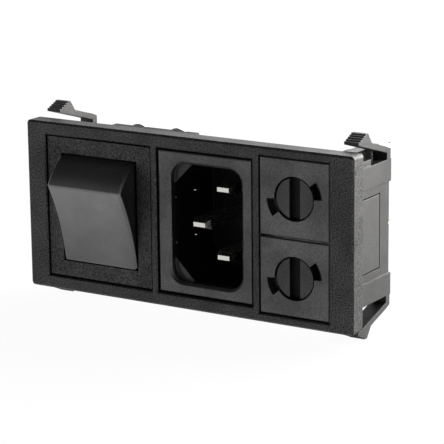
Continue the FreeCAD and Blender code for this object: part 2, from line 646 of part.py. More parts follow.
def make_inlet_housing():
    face = FACE + INLET_SINK
    middle = AP2 + INLET_AP_W / 2
    flange = prism(rectangle(middle, 0, INLET_AP_W - 2 * FLANGE_GAP, MODULE_AP_H - 2 * FLANGE_GAP),
                   "Y", face, SEAT)
    flange = flange.makeFillet(FLANGE_ROUND, front_edges(flange, face))
    body = prism(nipped(INLET_X, 0, 2 * INLET_HALF_W, 2 * MODULE_TOP, INLET_NIP), "Y", SEAT, INLET_REAR)
    housing = flange.fuse(body).removeSplitter()

    throat = face + MOUTH_DEPTH
    mouth = prism(rectangle(INLET_X, 0, CAVITY_W, CAVITY_H, MOUTH_CORNER), "Y", face, throat)
    housing = housing.cut(mouth)
    rim = [edge for edge in front_edges(housing, face)
           if abs(edge.CenterOfMass.x - INLET_X) < CAVITY_W / 2 + INLET_WALL / 2
           and abs(edge.CenterOfMass.z) < CAVITY_H / 2 + INLET_WALL_Z / 2]
    housing = housing.makeChamfer(MOUTH_BREAK, rim)
    left, right = INLET_X - CAVITY_W / 2, INLET_X + CAVITY_W / 2
    top = CAVITY_H / 2
    inside = [(left, -top + CAVITY_CHAMFER), (left + CAVITY_CHAMFER, -top), (right, -top, CAVITY_CORNER),
              (right, top, CAVITY_CORNER), (left + CAVITY_CHAMFER, top), (left, top - CAVITY_CHAMFER)]
    cavity = prism(inside, "Y", throat, INLET_FLOOR_Y)
    windows = []
    for z in (-RIB_Z, RIB_Z):
        rib_end = WINDOW_Y - RIB_GAP
        cavity = cavity.cut(box(left - CUT, left + RIB_H, SEAT, rib_end, z - RIB_W / 2, z + RIB_W / 2))
        windows.append(box(left - INLET_WALL - CUT, left + CUT, WINDOW_Y, WINDOW_Y + WINDOW_L,
                           z - WINDOW_W / 2, z + WINDOW_W / 2))
    housing = housing.cut(cavity)
    for window in windows:
        housing = housing.cut(window)
    return housing


def pin_places():
    return [("live_pin", INLET_X + LINE_PIN_X, PIN_PITCH / 2, FACE + LINE_PIN_TIP),
            ("neutral_pin", INLET_X + LINE_PIN_X, -PIN_PITCH / 2, FACE + LINE_PIN_TIP),
            ("earth_pin", INLET_X + EARTH_PIN_X, 0, FACE + EARTH_PIN_TIP)]


def make_pin(x, z, tip):
    """Flat contact pin with a tapered tip, a shoulder behind the floor and a blade at the back."""
    seat = INLET_REAR - SHOULDER_T
    wide = [(x - PIN_TIP_W / 2, tip), (x + PIN_TIP_W / 2, tip), (x + PIN_W / 2, tip + PIN_TAPER),
            (x + PIN_W / 2, seat), (x - PIN_W / 2, seat), (x - PIN_W / 2, tip + PIN_TAPER)]
    thick = [(tip, z - PIN_TIP_T / 2), (tip + PIN_TAPER, z - PIN_T / 2), (seat, z - PIN_T / 2),
             (seat, z + PIN_T / 2), (tip + PIN_TAPER, z + PIN_T / 2), (tip, z + PIN_TIP_T / 2)]
    shank = prism(wide, "Z", z - PIN_T, z + PIN_T).common(prism(thick, "X", x - PIN_W, x + PIN_W))
    shoulder = prism(rectangle(x, z, PIN_W + 2 * SHOULDER_SIDE, PIN_T + 2 * SHOULDER_SIDE), "Y",
                     seat, INLET_REAR)
    return fuse_all([shank, shoulder, blade(x, z, BLADE_W, INLET_REAR, TAIL_END)])


def make_inlet_base(pins):
    """Cover behind the inlet that traps the pins' shoulders."""
    base = prism(nipped(INLET_X, 0, 2 * INLET_HALF_W, 2 * MODULE_TOP, INLET_NIP), "Y",
                 INLET_REAR, INLET_REAR + INLET_BASE_T)
    for pin in pins:
        base = base.cut(pin)
    return base


def make_earth_strap():
    """Metal strap on the earth-side wall, seen through the wall's two windows."""
    wall = INLET_X - INLET_HALF_W
    return box(wall - STRAP_T, wall, WINDOW_Y - STRAP_SIDE, WINDOW_Y + WINDOW_L + STRAP_SIDE,
               -STRAP_HALF, STRAP_HALF)


# ---- fuse holders: modelled about an axis at x = z = 0, then moved to their places ----

def make_fuse_body(up):
    """Flange, square plug and round barrel, with a bayonet mouth and a bore for the fuse."""
    half_w = (FUSE_AP_W - HOLDER_GAP) / 2
    outer = (FUSE_AP_H - HOLDER_GAP) / 2 - FUSE_LIFT
    inner = FUSE_LIFT - HOLDER_GAP / 2
    low, high = (-inner, outer) if up else (-outer, inner)
    flange = prism([(-half_w, low), (half_w, low), (half_w, high), (-half_w, high)], "Y", HOLDER_FACE, SEAT)
    flange = flange.makeChamfer(HOLDER_BREAK, front_edges(flange, HOLDER_FACE))
    plug = prism(rectangle(0, 0, 2 * PLUG_HALF, 2 * PLUG_HALF), "Y", SEAT, PLUG_END)
    barrel = rod(BARREL_R, 0, 0, PLUG_END, BARREL_END)
    side = TAG_X - TAG_BOX_W / 2
    start = RAIL_DEPTH + FLANGE_GAP
    rib = prism([(0, TAG_RIB_LOW), (side, TAG_BOX_LOW), (side, TAG_BOX_LOW + TAG_RIB_H),
                 (0, TAG_RIB_LOW + TAG_RIB_H)], "Y", start, TAG_RIB_END)
    tag_box = box(side, side + TAG_BOX_W, start, TAG_BOX_END, TAG_BOX_LOW, TAG_BOX_TOP)
    body = fuse_all([flange, plug, barrel, rib, tag_box])
    pocket = HOLDER_FACE + HOLDER_SKIN
    room = pocket + BAYONET_ROOM
    body = body.cut(rod(HOLE_R, 0, 0, HOLDER_FACE - CUT, pocket))
    body = body.cut(rod(KEYWAY_R, 0, 0, pocket, room))
    for keyway in opposed(sector(KEYWAY_R, HOLDER_FACE - CUT, pocket, KEYWAY_FROM, KEYWAY_SWEEP)):
        body = body.cut(keyway)
    return body.cut(rod(BORE_R, 0, 0, pocket, SPRING_STOP))


def make_fuse_cap():
    """Slotted bayonet cap in one piece with the sleeve that holds the fuse's front end."""
    ears_y = HOLDER_FACE + EAR_FRONT
    start = KEYWAY_FROM + KEYWAY_SWEEP / 2 - CAP_TURN - EAR_SWEEP / 2
    ears = opposed(sector(EAR_R, ears_y, ears_y + EAR_T, start, EAR_SWEEP))
    cap = fuse_all([rod(CAP_R, 0, 0, CAP_FACE, SLEEVE_END)] + ears)
    half = CAP_SLOT_W / 2
    cap = cap.cut(box(-half, half, CAP_FACE - CUT, CAP_FACE + CAP_SLOT_DEPTH, -CAP_R - CUT, CAP_R + CUT))
    return cap.cut(rod(SLEEVE_BORE, 0, 0, CAP_FACE + CAP_T, SLEEVE_END + CUT))


def make_fuse_end(front):
    """Metal cap over one end of the glass."""
    start = FUSE_FRONT if front else FUSE_REAR - FUSE_CAP_L
    end = rod(FUSE_R, 0, 0, start, start + FUSE_CAP_L)
    inside = start + FUSE_SHELL if front else start - FUSE_SHELL
    return end.cut(rod(GLASS_R, 0, 0, inside, inside + FUSE_CAP_L))


def make_fuse_glass():
    start, stop = FUSE_FRONT + FUSE_SHELL, FUSE_REAR - FUSE_SHELL
    return rod(GLASS_R, 0, 0, start, stop).cut(rod(GLASS_R - GLASS_WALL, 0, 0, start - CUT, stop + CUT))


def make_fuse_wire():
    half = FUSE_WIRE_W / 2
    return box(-half, half, FUSE_FRONT + FUSE_SHELL, FUSE_REAR - FUSE_SHELL, -half, half)


def make_end_spring():
    """Coil spring between the fuse and the rear tag."""
    return coil_spring(END_SPRING_R, END_SPRING_WIRE, FUSE_REAR, SPRING_STOP, END_SPRING_TURNS, 0)


def make_side_tag():
    """Flat tag that leaves the holder's side box."""
    low = TAG_LIFT - TAG_T / 2
    tag = prism(tab(TAG_X, TAG_W, TAG_ROOT, TAG_END, TAG_NIP), "Z", low, low + TAG_T)
    hole = Part.makeCylinder(TAG_HOLE_R, TAG_T + 2 * CUT,
                             FreeCAD.Vector(TAG_X, TAG_END - TAG_HOLE_BACK, low - CUT))
    return tag.cut(hole)


def make_rear_tag():
    """Flat blade behind the holder, on a stem that the spring presses against."""
    half = REAR_TAG_STEM_W / 2
    stem = box(-half, half, SPRING_STOP, BARREL_END, -BLADE_T / 2, BLADE_T / 2)
    return fuse_all([blade(0, 0, REAR_TAG_W, BARREL_END, REAR_TAG_END), stem])


def build():
    parts = {"bezel_frame": make_bezel_frame()}
    plate = make_end_plate()
    parts["end_plate_right"] = plate
    parts["end_plate_left"] = mirror_x(plate)

    parts["switch_housing"] = make_switch_housing()
    parts["rocker"] = turned(make_rocker_level(), PIVOT_Y, ROCKER_TILT)
    terminals = []
    for side, x in zip(SIDES, POLES):
        parts["plunger_" + side] = turned(make_plunger_level(x), PIVOT_Y, ROCKER_TILT)
        parts["plunger_spring_" + side] = turned(make_plunger_spring_level(x), PIVOT_Y, ROCKER_TILT)
        parts["contact_arm_" + side] = make_contact_arm(x)
        parts["switched_terminal_" + side] = make_switched_terminal(x)
        parts["common_terminal_" + side] = make_common_terminal(x)
        terminals += [parts["switched_terminal_" + side], parts["common_terminal_" + side]]
    parts["switch_base"] = make_switch_base(terminals)

    housing = make_inlet_housing()
    pins = []
    for name, x, z, tip in pin_places():
        parts[name] = make_pin(x, z, tip)
        pins.append(parts[name])
        housing = housing.cut(parts[name])
    parts["inlet_housing"] = housing
    parts["inlet_base"] = make_inlet_base(pins)
    parts["earth_strap"] = make_earth_strap()

    for row, up in (("upper", True), ("lower", False)):
        side_tag, rear_tag = make_side_tag(), make_rear_tag()
        pieces = {
            "fuse_body_" + row: make_fuse_body(up).cut(side_tag).cut(rear_tag),
            "fuse_cap_" + row: make_fuse_cap(),
            "fuse_glass_" + row: make_fuse_glass(),
            "fuse_end_front_" + row: make_fuse_end(True),
            "fuse_end_rear_" + row: make_fuse_end(False),
            "fuse_wire_" + row: make_fuse_wire(),
            "fuse_spring_" + row: make_end_spring(),
            "fuse_side_tag_" + row: side_tag,
            "fuse_rear_tag_" + row: rear_tag,
        }
        for name, shape in pieces.items():
            moved = shape.copy()
            moved.translate(FreeCAD.Vector(FUSE_X, 0, FUSE_LIFT if up else -FUSE_LIFT))
            parts[name] = moved
    return parts


os.makedirs("parts", exist_ok=True)
for node, solid in build().items():
    solid.exportStep("parts/" + node + ".step")
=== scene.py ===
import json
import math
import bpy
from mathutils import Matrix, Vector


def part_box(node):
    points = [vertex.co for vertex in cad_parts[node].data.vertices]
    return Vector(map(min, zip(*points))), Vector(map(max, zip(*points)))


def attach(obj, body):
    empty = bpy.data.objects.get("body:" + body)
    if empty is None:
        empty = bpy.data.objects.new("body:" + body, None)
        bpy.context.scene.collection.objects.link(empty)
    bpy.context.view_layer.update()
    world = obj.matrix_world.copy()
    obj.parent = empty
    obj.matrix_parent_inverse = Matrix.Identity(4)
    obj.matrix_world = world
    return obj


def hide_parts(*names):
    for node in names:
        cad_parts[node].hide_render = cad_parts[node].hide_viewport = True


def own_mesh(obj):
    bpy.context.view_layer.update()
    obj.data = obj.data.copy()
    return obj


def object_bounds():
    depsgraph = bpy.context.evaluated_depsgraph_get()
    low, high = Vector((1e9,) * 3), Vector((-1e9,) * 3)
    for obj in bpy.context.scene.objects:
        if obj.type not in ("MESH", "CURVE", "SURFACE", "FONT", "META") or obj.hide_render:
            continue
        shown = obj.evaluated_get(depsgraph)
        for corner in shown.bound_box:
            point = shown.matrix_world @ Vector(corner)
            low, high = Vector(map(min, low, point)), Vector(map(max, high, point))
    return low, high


bl_info = {
    "name": "Panel Inlet Unit",
    "version": (1, 0, 0),
    "blender": (4, 5, 0),
    "location": "3D View > Sidebar > Inlet Unit",
    "description": "Finishes, springs and studio for a switched and fused mains inlet unit",
    "category": "Object",
}

import bmesh
import bpy
from mathutils import Matrix, Vector

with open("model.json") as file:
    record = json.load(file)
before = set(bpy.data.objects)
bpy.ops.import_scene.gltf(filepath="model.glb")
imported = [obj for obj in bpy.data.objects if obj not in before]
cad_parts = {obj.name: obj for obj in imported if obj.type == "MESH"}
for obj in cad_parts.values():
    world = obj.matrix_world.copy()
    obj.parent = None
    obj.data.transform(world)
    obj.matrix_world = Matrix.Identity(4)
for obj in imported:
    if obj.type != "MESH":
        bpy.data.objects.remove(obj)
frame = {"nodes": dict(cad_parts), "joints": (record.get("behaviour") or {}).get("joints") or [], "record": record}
CAD_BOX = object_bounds()
NODES = frame["nodes"]
JOINTS = {joint["name"]: joint for joint in frame["joints"]}
BODIES = frame["record"]["behaviour"]["bodies"]
BODY_OF = {node: body for body, nodes in BODIES.items() for node in nodes}
MM = 0.001


def linear(code):
    """Turns an sRGB hex value such as #30343a into linear red, green, blue and alpha."""
    channels = [int(code[i:i + 2], 16) / 255 for i in (1, 3, 5)]
    return tuple(
        c / 12.92 if c <= 0.04045 else ((c + 0.055) / 1.055) ** 2.4 for c in channels) + (1.0,)


def colour(name, code, description):
    """A colour that the user can change."""
    return bpy.props.FloatVectorProperty(
        name=name, description=description, subtype="COLOR", size=4, min=0, max=1,
        default=linear(code))


def length(name, millimetres, description):
    """A length that the user can change."""
    return bpy.props.FloatProperty(
        name=name, description=description, subtype="DISTANCE", unit="LENGTH", min=0,
        default=millimetres * MM, precision=5)


def angle(name, degrees, description):
    """An angle that the user can change."""
    return bpy.props.FloatProperty(
        name=name, description=description, subtype="ANGLE", unit="ROTATION",
        default=math.radians(degrees))


class InletPlastics(bpy.types.PropertyGroup):
    """Colours and textures of the moulded pieces."""
    frame_colour: colour("Frame", "#0c0c0d", "Pigment of the bezel and its end walls")
    switch_colour: colour("Switch body", "#0b0b0c", "Pigment of the switch housing")
    rocker_colour: colour("Rocker", "#0b0b0c", "Pigment of the rocker")
    inlet_colour: colour("Inlet", "#0a0a0b", "Pigment of the inlet housing")
    holder_colour: colour("Fuse holders", "#0c0c0d", "Pigment of the fuse holders and their caps")
    cover_colour: colour("Rear covers", "#121213", "Pigment of the covers on switch and inlet")
    plunger_colour: colour("Plungers", "#e6e3da", "Natural acetal of the plungers")
    # Real grain is about a tenth of a millimetre across, and is drawn coarser so that it shows.
    frame_grain: length("Frame grain", 0.3, "Size of the spark-eroded grain on the frame")
    fine_grain: length("Fine grain", 0.22, "Size of the finer grain on the smoother mouldings")
    edge_round: length("Edge rounding", 0.15, "Radius that softens each moulded edge")
    rocker_round: length("Rocker rounding", 0.3, "Radius that softens the rocker's ridge and sides")
    inlet_round: length("Inlet rounding", 0.3, "Radius that softens the rim of the inlet")
    # The cavity's walls carry painted shade, deepest inside.
    cavity_width: length("Cavity width", 16.6, "Width of the inlet's cavity, whose walls are matt")
    cavity_height: length("Cavity height", 24.4, "Height of the inlet's cavity")


class InletMetals(bpy.types.PropertyGroup):
    """Colours, marks and sizes of the metal pieces, and the glass."""
    plate_colour: colour("Nickel plate", "#d8d6d0", "Plating on the pins, strap and fuse ends")
    tin_colour: colour("Tin plate", "#e2e0da", "Dull tin on the terminals and tags")
    alloy_colour: colour("Copper alloy", "#c98a5e", "Bare alloy of the contact arms")
    spring_colour: colour("Spring steel", "#a9a8a6", "Drawn wire of the springs")
    glass_colour: colour("Glass", "#f4f7f6", "Tube of each fuse")
    # Real rolling marks are hundredths of a millimetre apart, and are drawn coarser to show.
    line_spacing: length("Rolling marks", 0.25, "Spacing of the fine lines left by rolling")
    plunger_spring_turns: bpy.props.IntProperty(
        name="Plunger spring turns", description="Turns of wire in each plunger spring",
        default=7, min=2)
    fuse_spring_turns: bpy.props.IntProperty(
        name="Fuse spring turns", description="Turns of wire behind each fuse", default=2, min=1)
    plunger_wire: length("Plunger spring wire", 0.2, "Thickness of the plunger springs' wire")
    fuse_wire: length("Fuse spring wire", 0.2, "Thickness of the wire behind each fuse")
    window_height: length("Window height", 4.7, "From the inlet's middle to each earth window")
    pip_rise: length("Pip rise", 1.95, "How far each contact pip stands into its window")
    pip_length: length("Pip length", 1.9, "Length of each contact pip across the strap")
    pip_width: length("Pip width", 1.1, "Height of each contact pip")


class InletStudio(bpy.types.PropertyGroup):
    """Floor, light and camera."""
    floor_colour: colour("Floor", "#f3f3f3", "Plain pale floor")
    floor_white: bpy.props.FloatProperty(
        name="Floor white", description="How far the floor is seen as white",
        default=0.95, min=0, max=1)
    horizon: bpy.props.FloatProperty(
        name="Horizon", description="Strength of the light low down", default=1.0, min=0)
    zenith: bpy.props.FloatProperty(
        name="Zenith", description="Strength of the light above", default=0.05, min=0)
    camera_azimuth: angle("Camera azimuth", 32.04, "Angle round from the front")
    camera_elevation: angle("Camera elevation", 13.85, "Angle above the horizon")
    camera_roll: angle("Camera roll", -0.64, "Lean of the camera")
    camera_distance: length("Camera distance", 431.36, "From the bezel's face to the camera")
    camera_across: length("Camera offset across", 7.68, "How far right of the middle it looks")
    camera_above: length("Camera offset up", 0.46, "How far above the middle it looks")
    camera_lens: bpy.props.FloatProperty(
        name="Camera lens", description="Focal length", subtype="DISTANCE_CAMERA", unit="CAMERA",
        default=175.05)


# ---- materials ----

# Most of a noise texture's values lie in the middle span, and nearly all in the wide one.
MIDDLE_SPAN = {"From Min": 0.35, "From Max": 0.65}
WIDE_SPAN = {"From Min": 0.3, "From Max": 0.7}
NOISE_MIDDLE = 0.5

FLOW_MARKS = 8 * MM  # Patches that the melt leaves as it fills a mould.
FLOW_TONES = (0.7, 1.3)  # Their darkest and palest pigment, as factors,
FLOW_POLISH = 0.06  # and what they add to the roughness or take from it.
GRAIN_FADE = 0.3 * MM  # Depth over which a mould's texture stops.
GRAIN_LOST = 0.75  # Share of the relief that is gone behind it.
RECESS_SHADE_CLEARANCE = 0.1 * MM  # Painted shade in a recess reaches this far past its nominal walls,
RECESS_SHADE_FADE = 0.2 * MM  # and ends over this width.
RECESS_SHADE_DEPTH = 1 * MM  # Depth over which the painted shade deepens along a recess,
RECESS_SHADE_LOSS = 0.85  # and the share of the gloss that it takes away there.
SHEEN_FAR_GLOSS = 0.35  # Share of the gloss that is left beyond the reach of a painted sheen.
TUMBLED_EDGE = 0.08 * MM  # Radius that tumbling leaves on blanked metal.
LINE_RELIEF = 0.01 * MM  # Height of the lines that rolling leaves,
LINE_TONES = (0.82, 1.08)  # their darkest and palest colour, as factors,
LINE_POLISH = 0.08  # and what they take from the roughness or add to it.
GLASS_SMEARS = 3 * MM  # Faint smears on drawn tube,
GLASS_POLISH = (0.02, 0.08)  # and the roughness between and on them.

# Rolling marks are about eight times as long as they are wide.
MARKS_ALONG_DEPTH = (1, 0.12, 1)
MARKS_ALONG_HEIGHT = (1, 1, 0.12)
MARKS_ALL_ROUND = (1, 1, 1)


def add_node(tree, kind, settings=None, values=None, links=None):
    """Adds a node, with its settings, the values of its sockets and what is linked to them."""
    made = tree.nodes.new(kind)
    for name, value in (settings or {}).items():
        setattr(made, name, value)
    for socket, value in (values or {}).items():
        made.inputs[socket].default_value = value
    for socket, source in (links or {}).items():
        tree.links.new(source, made.inputs[socket])
    return made


def start_material(name):
    """An empty node material and its tree."""
    material = bpy.data.materials.new(name)
    material.use_nodes = True
    material.node_tree.nodes.clear()
    return material, material.node_tree


def shade(base, factor):
    """A lighter or darker version of a linear colour."""
    return tuple(min(1.0, channel * factor) for channel in base[:3]) + (1.0,)


def fading_relief(tree, relief, depth, start):
    """The grain's relief, most of it gone behind the start, where the mould has no texture."""
    plain = add_node(
        tree, "ShaderNodeMapRange",
        values={"From Min": start, "From Max": start + GRAIN_FADE, "To Max": GRAIN_LOST},
        links={"Value": depth})
    flattened = add_node(
        tree, "ShaderNodeMix", {"data_type": "FLOAT"}, {3: NOISE_MIDDLE},
        {0: plain.outputs[0], 2: relief})
    return flattened.outputs[0]


def painted_recess_shade(tree, place, depth, shaded_recess):
    """The share of the gloss left by painted shade in a recess: all outside it, little deep in it.

    The recess is its middle along X, the depth where it starts, half its width and half its height.
    """
    across, start, half_width, half_height = shaded_recess
    offset = add_node(
        tree, "ShaderNodeVectorMath", {"operation": "SUBTRACT"}, {1: (across, 0, 0)}, {0: place})
    size = add_node(
        tree, "ShaderNodeVectorMath", {"operation": "ABSOLUTE"}, links={0: offset.outputs[0]})
    beyond = add_node(
        tree, "ShaderNodeVectorMath", {"operation": "SUBTRACT"},
        {1: (half_width, 0, half_height)}, {0: size.outputs[0]})
    sides = add_node(tree, "ShaderNodeSeparateXYZ", links={0: beyond.outputs[0]})
    furthest = add_node(
        tree, "ShaderNodeMath", {"operation": "MAXIMUM"},
        links={0: sides.outputs["X"], 1: sides.outputs["Z"]})
    inside = add_node(
        tree, "ShaderNodeMapRange",
        values={"From Max": RECESS_SHADE_FADE, "To Min": RECESS_SHADE_LOSS, "To Max": 0.0},
        links={"Value": furthest.outputs[0]})
    deep = add_node(
        tree, "ShaderNodeMapRange", values={"From Min": start, "From Max": start + RECESS_SHADE_DEPTH},
        links={"Value": depth})
    # Painted shade: deep in the recess most of the gloss is taken away, so its walls read darker than the light
    # alone makes them.
    lost = add_node(
        tree, "ShaderNodeMath", {"operation": "MULTIPLY"},
        links={0: inside.outputs[0], 1: deep.outputs[0]})
    kept = add_node(
        tree, "ShaderNodeMath", {"operation": "SUBTRACT"}, {0: 1.0}, {1: lost.outputs[0]})
    return kept.outputs[0]


def painted_sheen_gloss(tree, place, point, reach):
    """A painted sheen: the share of the gloss, full at a point and down to its least at the reach."""
    apart = add_node(
        tree, "ShaderNodeVectorMath", {"operation": "DISTANCE"}, {1: point}, {0: place})
    sheen_share = add_node(
        tree, "ShaderNodeMapRange",
        values={"From Max": reach, "To Min": 1.0, "To Max": SHEEN_FAR_GLOSS},
        links={"Value": apart.outputs["Value"]})
    return sheen_share.outputs[0]


def moulded_plastic(name, pigment, grain_size, grain_depth, roughness, gloss, contrast, edge,
                    lacquer=0.0, mottle=0.1, shaded_recess=None, painted_sheen=None, plain_from=None):
    """Moulded plastic: dark pigment under a skin that copies the grain of its mould.

    The gloss is the shader's specular level: 0.5 is bare nylon, and the smoother skins are set
    above it to shine as the real ones do. The grain's peaks are polished and catch the light and
    its pits stay dull, as far as the contrast says. The flow of the melt leaves soft patches of
    pigment, polish and gloss. Behind plain_from, little of the grain is left.
    """
    material, tree = start_material(name)
    place = add_node(tree, "ShaderNodeTexCoord").outputs["Object"]
    depth = add_node(tree, "ShaderNodeSeparateXYZ", links={0: place}).outputs["Y"]
    grain = add_node(
        tree, "ShaderNodeTexNoise",
        values={"Scale": 1 / grain_size, "Detail": 2.0, "Roughness": 0.6},
        links={"Vector": place})
    flow = add_node(
        tree, "ShaderNodeTexNoise", values={"Scale": 1 / FLOW_MARKS, "Detail": 2.0},
        links={"Vector": place})
    skin = add_node(
        tree, "ShaderNodeMix", {"data_type": "RGBA"},
        {6: shade(pigment, FLOW_TONES[0]), 7: shade(pigment, FLOW_TONES[1])},
        {0: flow.outputs["Fac"]})
    relief = grain.outputs["Fac"]
    if plain_from is not None:
        relief = fading_relief(tree, relief, depth, plain_from)
    shine = add_node(
        tree, "ShaderNodeMapRange",
        values={**MIDDLE_SPAN, "To Min": gloss * (1 - contrast), "To Max": gloss * (1 + contrast)},
        links={"Value": relief})
    patches = add_node(
        tree, "ShaderNodeMapRange",
        values={**MIDDLE_SPAN, "To Min": 1 - mottle, "To Max": 1 + mottle},
        links={"Value": flow.outputs["Fac"]})
    shares = [patches.outputs[0]]
    # Painted shade in a recess, where one is given.
    if shaded_recess is not None:
        shares.append(painted_recess_shade(tree, place, depth, shaded_recess))
    # Painted sheen round a point, where one is given.
    if painted_sheen is not None:
        shares.append(painted_sheen_gloss(tree, place, *painted_sheen))
    level = shine.outputs[0]
    for share in shares:
        product = add_node(
            tree, "ShaderNodeMath", {"operation": "MULTIPLY"}, links={0: level, 1: share})
        level = product.outputs[0]
    dull = add_node(
        tree, "ShaderNodeMapRange",
        values={**WIDE_SPAN, "To Min": roughness + FLOW_POLISH, "To Max": roughness - FLOW_POLISH},
        links={"Value": flow.outputs["Fac"]})
    edges = add_node(tree, "ShaderNodeBevel", {"samples": 6}, {"Radius": edge})
    bump = add_node(
        tree, "ShaderNodeBump", values={"Distance": grain_depth, "Strength": 1.0},
        links={"Height": relief, "Normal": edges.outputs["Normal"]})
    # The specular level's own value is the mean gloss, which stays where its link is dropped.
    surface = add_node(
        tree, "ShaderNodeBsdfPrincipled",
        values={"Specular IOR Level": gloss, "Coat Weight": lacquer, "Coat Roughness": roughness},
        links={"Base Color": skin.outputs[2], "Roughness": dull.outputs[0],
               "Specular IOR Level": level, "Normal": bump.outputs["Normal"]})
    add_node(tree, "ShaderNodeOutputMaterial", links={"Surface": surface.outputs[0]})
    return material


def rolled_metal(name, base, spacing, roughness, marks):
    """Rolled, drawn or plated metal: fine lines along the piece, some paler and duller."""
    material, tree = start_material(name)
    place = add_node(tree, "ShaderNodeTexCoord").outputs["Object"]
    along = add_node(tree, "ShaderNodeMapping", values={"Scale": marks}, links={"Vector": place})
    lines = add_node(
        tree, "ShaderNodeTexNoise", values={"Scale": 1 / spacing, "Detail": 4.0},
        links={"Vector": along.outputs[0]})
    tint = add_node(
        tree, "ShaderNodeMix", {"data_type": "RGBA"},
        {6: shade(base, LINE_TONES[0]), 7: shade(base, LINE_TONES[1])},
        {0: lines.outputs["Fac"]})
    dull = add_node(
        tree, "ShaderNodeMapRange",
        values={**WIDE_SPAN, "To Min": roughness - LINE_POLISH, "To Max": roughness + LINE_POLISH},
        links={"Value": lines.outputs["Fac"]})
    edges = add_node(tree, "ShaderNodeBevel", {"samples": 4}, {"Radius": TUMBLED_EDGE})
    bump = add_node(
        tree, "ShaderNodeBump", values={"Distance": LINE_RELIEF, "Strength": 0.6},
        links={"Height": lines.outputs["Fac"], "Normal": edges.outputs["Normal"]})
    surface = add_node(
        tree, "ShaderNodeBsdfPrincipled", values={"Metallic": 1.0},
        links={"Base Color": tint.outputs[2], "Roughness": dull.outputs[0],
               "Normal": bump.outputs["Normal"]})
    add_node(tree, "ShaderNodeOutputMaterial", links={"Surface": surface.outputs[0]})
    return material


def clear_glass(name, tint):
    """Soda glass tube, clear with a faint smear that varies its polish."""
    material, tree = start_material(name)
    place = add_node(tree, "ShaderNodeTexCoord").outputs["Object"]
    smear = add_node(
        tree, "ShaderNodeTexNoise", values={"Scale": 1 / GLASS_SMEARS, "Detail": 2.0},
        links={"Vector": place})
    polish = add_node(
        tree, "ShaderNodeMapRange",
        values={"To Min": GLASS_POLISH[0], "To Max": GLASS_POLISH[1]},
        links={"Value": smear.outputs["Fac"]})
    surface = add_node(
        tree, "ShaderNodeBsdfPrincipled",
        values={"Base Color": tint, "Transmission Weight": 1.0, "IOR": 1.5},
        links={"Roughness": polish.outputs[0]})
    add_node(tree, "ShaderNodeOutputMaterial", links={"Surface": surface.outputs[0]})
    return material


def give(material, names):
    """Puts one material on these CAD nodes."""
    for name in names:
        mesh = NODES[name].data
        mesh.materials.clear()
        mesh.materials.append(material)


def both(*stems):
    """Node names of pieces that come as a left and a right one."""
    return [stem + side for stem in stems for side in ("_left", "_right")]


def pair(*stems):
    """Node names of pieces that come as an upper and a lower one."""
    return [stem + row for stem in stems for row in ("_upper", "_lower")]


# ---- pieces ----

COIL_STEPS = 20  # Facets in each turn of a coil,
WIRE_SIDES = 10  # and round its wire.
STRAP_EDGE = 0.1 * MM  # Radius on the edges of the earth strap.
PIP_ROOT = 0.2 * MM  # Depth of each pip's flat root below the strap's face.
SAME_PLANE = 1e-9  # Points nearer to a cut than this lie in it.


def middle_x(node):
    """The middle of a node along X."""
    low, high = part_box(node)
    return (low.x + high.x) / 2


def finish_piece(name, made, material, cad_node):
    """Turns a bmesh into a piece that stands for a CAD node and rides with it."""
    mesh = bpy.data.meshes.new(name)
    bmesh.ops.recalc_face_normals(made, faces=made.faces)
    made.to_mesh(mesh)
    made.free()
    mesh.shade_smooth()
    mesh.materials.append(material)
    piece = bpy.data.objects.new(name, mesh)
    bpy.context.scene.collection.objects.link(piece)
    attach(piece, BODY_OF[cad_node])
    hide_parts(cad_node)
    return piece


def close_holes(made):
    """Puts a flat face in each open loop of edges."""
    bmesh.ops.holes_fill(made, edges=[e for e in made.edges if e.is_boundary], sides=0)


def coil(radius, wire, start, stop, turns):
    """A bmesh coil of round wire about the Y axis, with closed ends."""
    steps = COIL_STEPS * turns
    made = bmesh.new()
    ring = bmesh.ops.create_circle(made, segments=WIRE_SIDES, radius=wire / 2)["verts"]
    bmesh.ops.translate(made, verts=ring, vec=(radius, start + wire / 2, 0))
    rise = Vector((0, (stop - start - wire) / steps, 0))
    bmesh.ops.spin(
        made, geom=made.edges[:], axis=(0, 1, 0), cent=(0, 0, 0), dvec=rise,
        angle=2 * math.pi * turns, steps=steps, use_merge=False)
    close_holes(made)
    return made


